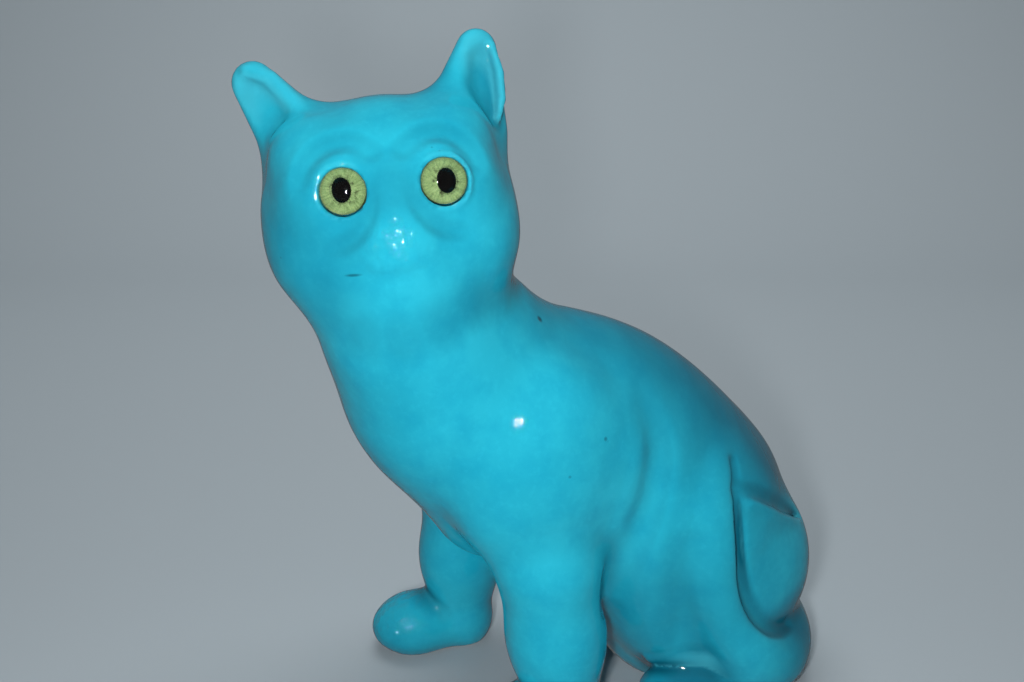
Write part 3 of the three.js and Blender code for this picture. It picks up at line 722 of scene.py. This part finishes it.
def iris_material():
    m, nt, bsdf, out = new_material("painted_iris")
    at_ = nt.nodes.new("ShaderNodeAttribute")
    at_.attribute_name = "disc"
    sep = nt.nodes.new("ShaderNodeSeparateXYZ")
    nt.links.new(at_.outputs["Vector"], sep.inputs[0])
    x, y = sep.outputs[0], sep.outputs[1]
    r2 = math_node(nt, "ADD", math_node(nt, "MULTIPLY", x, x), math_node(nt, "MULTIPLY", y, y))
    r = math_node(nt, "SQRT", r2)
    ang = math_node(nt, "ARCTAN2", y, x)
    comb = nt.nodes.new("ShaderNodeCombineXYZ")
    nt.links.new(math_node(nt, "MULTIPLY", math_node(nt, "SINE", ang), 5.0), comb.inputs[0])
    nt.links.new(math_node(nt, "MULTIPLY", math_node(nt, "COSINE", ang), 5.0), comb.inputs[1])
    nt.links.new(math_node(nt, "MULTIPLY", r, 1.2), comb.inputs[2])
    fibre = noise(nt, 2.6, 5.0, 0.75, comb.outputs[0])
    grain = noise(nt, 9.0, 4.0, 0.7, at_.outputs["Vector"])
    mixv = math_node(nt, "ADD", math_node(nt, "MULTIPLY", fibre.outputs[0], 0.55), math_node(nt, "MULTIPLY", grain.outputs[0], 0.45))
    col = ramp(nt, mixv, [(0.34, srgb(86, 112, 66)), (0.45, srgb(132, 162, 102)), (0.55, srgb(164, 192, 130)), (0.67, srgb(196, 214, 160))])
    # darker towards the outer edge, and a few dark fibres round the pupil
    edge = ramp(nt, r, [(0.78, (0.0,)), (0.93, (0.45,)), (1.0, (0.9,))])
    c2 = mix_colour(nt, edge.outputs[0], col.outputs[0], srgb(58, 84, 50))
    nearp = ramp(nt, r, [(0.5, (1.0,)), (0.82, (0.15,))])
    f2 = noise(nt, 5.5, 3.0, 0.6, at_.outputs["Vector"])
    f3 = ramp(nt, f2.outputs[0], [(0.53, (0.0,)), (0.60, (1.0,))])
    c3 = mix_colour(nt, math_node(nt, "MULTIPLY", math_node(nt, "MULTIPLY", nearp.outputs[0], f3.outputs[0]), 0.85), c2, srgb(44, 44, 22))
    nt.links.new(c3, bsdf.inputs["Base Color"])
    bsdf.inputs["Roughness"].default_value = 0.6
    bsdf.inputs["Specular IOR Level"].default_value = 0.05
    return m


def plain_material(name, colour, rough, **extra):
    m, nt, bsdf, out = new_material(name)
    co = nt.nodes.new("ShaderNodeTexCoord").outputs["Object"]
    n = noise(nt, 900.0, 3.0, 0.6, co)
    c = mix_colour(nt, math_node(nt, "MULTIPLY", n.outputs[0], 0.35), colour, tuple(v * 0.6 for v in colour))
    nt.links.new(c, bsdf.inputs["Base Color"])
    bsdf.inputs["Roughness"].default_value = rough
    for k, v in extra.items():
        bsdf.inputs[k.replace("_", " ")].default_value = v
    return m


IRIS = iris_material()
PUPIL = plain_material("pupil_black", (0.002, 0.002, 0.002), 0.6, Specular_IOR_Level=0.0)
glass_m, nt, bsdf, out = new_material("eye_glass")
bsdf.inputs["Base Color"].default_value = (0.97, 0.98, 0.94, 1)
bsdf.inputs["Roughness"].default_value = 0.0
bsdf.inputs["IOR"].default_value = 1.5
bsdf.inputs["Transmission Weight"].default_value = 1.0
bsdf.inputs["Alpha"].default_value = 0.35

R = EYE_DIA / 2 * MODULE
DOME = EYE_DOME * MODULE
DEEP = EYE_DEPTH * MODULE
eyes = []
for i, side_name in enumerate(("right", "left")):
    fr = eye_frame(i)
    # the clear dome: closed, its flat back just above the painted disc
    prof = [(0, -0.05 * MODULE), (R * 0.90, -0.05 * MODULE), (R * 0.975, -0.02 * MODULE), (R * 0.99, 0.03 * MODULE)]
    for j in range(1, 17):
        a = j / 16 * math.pi / 2
        prof.append((0 if j == 16 else R * 0.99 * math.cos(a), 0.03 * MODULE + (DOME - 0.03 * MODULE) * math.sin(a)))
    v, f = lathe(prof, 72)
    dome = mesh_object("eye_dome_" + side_name, place(v, fr), f)
    dome.data.materials.append(glass_m)
    # the painted button behind it, with its black pupil
    prof = [(0, -DEEP), (R * 0.72, -DEEP), (R * 0.98, -DEEP * 0.55), (R * 0.98, -0.10 * MODULE), (R * 0.95, -0.075 * MODULE)]
    n_in = 14
    for j in range(1, n_in + 1):
        rr = R * 0.95 * (1 - j / n_in)
        prof.append((rr, -0.075 * MODULE - 0.05 * MODULE * (1 - (rr / (R * 0.95)) ** 2)))
    v, f = lathe(prof, 72)
    disc = mesh_object("eye_iris_" + side_name, place(v, fr), f)
    layer = disc.data.attributes.new("disc", "FLOAT_VECTOR", "POINT")
    vv = np.asarray(v, dtype=np.float32) / R
    vv[:, 2] = i * 3.7
    layer.data.foreach_set("vector", vv.reshape(-1))
    disc.data.materials.append(IRIS)
    pr, pz = 0.48 * R, -0.06 * MODULE
    prof = [(0, pz - 0.06 * MODULE), (pr * 0.9, pz - 0.06 * MODULE), (pr, pz - 0.035 * MODULE), (pr * 0.93, pz - 0.008 * MODULE), (pr * 0.6, pz), (0, pz)]
    v, f = lathe(prof, 40)
    v = np.asarray(v)
    v[:, 0] *= 0.86
    v[:, 1] *= 1.12
    v[:, 0] += (-0.07, 0.11)[i] * R
    v[:, 1] += (0.06, 0.0)[i] * R
    pup = mesh_object("eye_pupil_" + side_name, place(v, fr), f)
    pup.data.materials.append(PUPIL)
    for o in (dome, disc, pup):
        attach(o, "root")
        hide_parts("glass_eye_" + side_name)
        eyes.append(o)

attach(cat, "root")
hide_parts("cat_body")


# ---------------------------------------------------------------- floor, light and camera
def stage_material(name, colour, rough):
    m, nt, bsdf, out = new_material(name)
    bsdf.inputs["Base Color"].default_value = (*colour, 1)
    bsdf.inputs["Roughness"].default_value = rough
    return m


CAM = to_metres(np.array([49.1, -17.2, 37.4]))
LOOK = unit([-0.9397 * 0.9397, 0.342 * 0.9397, -0.342])
flat = unit([LOOK[0], LOOK[1], 0])
right = np.array([-flat[1], flat[0], 0.0]) * -1
right = unit(np.cross(LOOK, [0, 0, 1]))

# a sweep: floor that curves up into a wall behind the figure, as seen from the camera
v, f = [], []
prof = [(-3.0, 0.0), (0.55, 0.0)]
for j in range(1, 17):
    a = j / 16 * math.pi / 2
    prof.append((0.55 + 0.35 * math.sin(a), 0.35 - 0.35 * math.cos(a)))
prof.append((0.90, 2.6))
for d, z in prof:
    for s in (-3.0, 3.0):
        p = flat * d + np.array([right[0], right[1], 0]) * s
        v.append((p[0], p[1], z))
for j in range(len(prof) - 1):
    f.append((2 * j, 2 * j + 1, 2 * j + 3, 2 * j + 2))
sweep = mesh_object("sweep", v, f)
sweep.data.materials.append(stage_material("pale_sweep", (0.305, 0.35, 0.378), 0.9))
sweep.visible_glossy = False


def area(name, pos, target, size, power, colour=(1, 1, 1), size_y=None):
    L = bpy.data.lights.new(name, "AREA")
    L.energy = power
    L.color = colour
    L.size = size
    L.shape = "DISK"
    if size_y:
        L.shape = "RECTANGLE"
        L.size_y = size_y
    o = bpy.data.objects.new(name, L)
    o.location = pos
    o.rotation_mode = "QUATERNION"
    o.rotation_quaternion = (Vector(target) - Vector(pos)).to_track_quat("-Z", "Y")
    o.visible_glossy = name == "key"
    bpy.context.scene.collection.objects.link(o)
    return o


mid = np.array([0, 0, 0.12])
upv = np.array([0, 0, 1.0])
area("key", CAM - right * 0.035 - upv * 0.02, mid + upv * 0.03, 0.04, 1.9)
area("soft_top", mid - flat * 0.5 - right * 0.35 + upv * 1.1, mid, 1.0, 0.52)
area("soft_right", mid + right * 1.1 - flat * 0.3 + upv * 0.5, mid, 0.8, 0.2)
area("backdrop", flat * 0.30 + upv * 1.15, flat * 0.95 + upv * 0.25, 0.9, 11.5)
world = bpy.data.worlds.new("studio")
world.use_nodes = True
world.node_tree.nodes["Background"].inputs[0].default_value = (0.84, 0.84, 0.86, 1)
world.node_tree.nodes["Background"].inputs[1].default_value = 0.15
bpy.context.scene.world = world
bpy.context.scene.view_settings.view_transform = "Standard"

cam_data = bpy.data.cameras.new("camera")
cam_data.sensor_width = 36.0
cam_data.lens = 1200 / 1024 * 36.0
cam_data.clip_start = 0.01
cam_data.clip_end = 50
cam = bpy.data.objects.new("camera", cam_data)
cam.location = CAM
cam.rotation_mode = "QUATERNION"
cam.rotation_quaternion = Vector(LOOK).to_track_quat("-Z", "Y")
bpy.context.scene.collection.objects.link(cam)
bpy.context.scene.camera = cam
